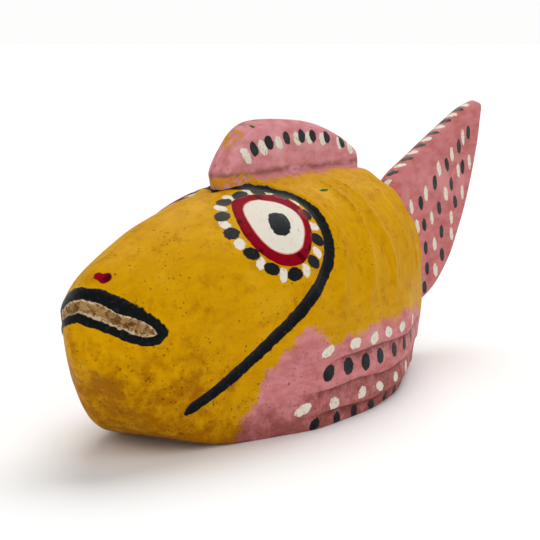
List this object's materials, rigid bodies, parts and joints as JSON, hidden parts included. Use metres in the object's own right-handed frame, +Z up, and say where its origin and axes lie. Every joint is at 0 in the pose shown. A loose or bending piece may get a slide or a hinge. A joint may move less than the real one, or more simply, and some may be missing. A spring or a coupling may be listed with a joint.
{
  "type": "guiro",
  "caption": "Hollow wooden rasp carved as a fish, with a ribbed back, dorsal fin and upswept tail, painted ochre and pink, and a plain stick stored under its tail.",
  "frame": {"origin": "on the surface that the fish stands on, under the middle of its box", "axes": "+X from the nose to the tail, -Y towards the fish's left side, +Z up"},
  "size_m": [0.35, 0.093, 0.1196],
  "materials": {
    "painted_block": "hand-brushed ochre yellow and dusty pink paint with black, white and red marks, satin, dirt in the hollows",
    "painted_fin": "hand-brushed dusty pink paint with black and white dabs, worn edges, satin",
    "bare_wood": "unpainted light wood, knife marks, matt",
    "peg_wood": "unpainted harder wood, matt",
    "stick_wood": "whittled stick, smooth from handling"
  },
  "bodies": {
    "fish": {"body_shell": "painted_block", "belly_board": "bare_wood", "belly_board_pins": "peg_wood", "dorsal_fin": "painted_fin", "dorsal_fin_dowels": "peg_wood", "tail_fin": "painted_fin", "tail_fin_pegs": "peg_wood"},
    "scraper": {"scraper": "stick_wood"}
  },
  "joints": [
    {"name": "scraper_slide", "type": "slide", "parent": "fish", "child": "scraper", "axis": [1, 0, 0], "range_m": [0, 0.21]}
  ]
}
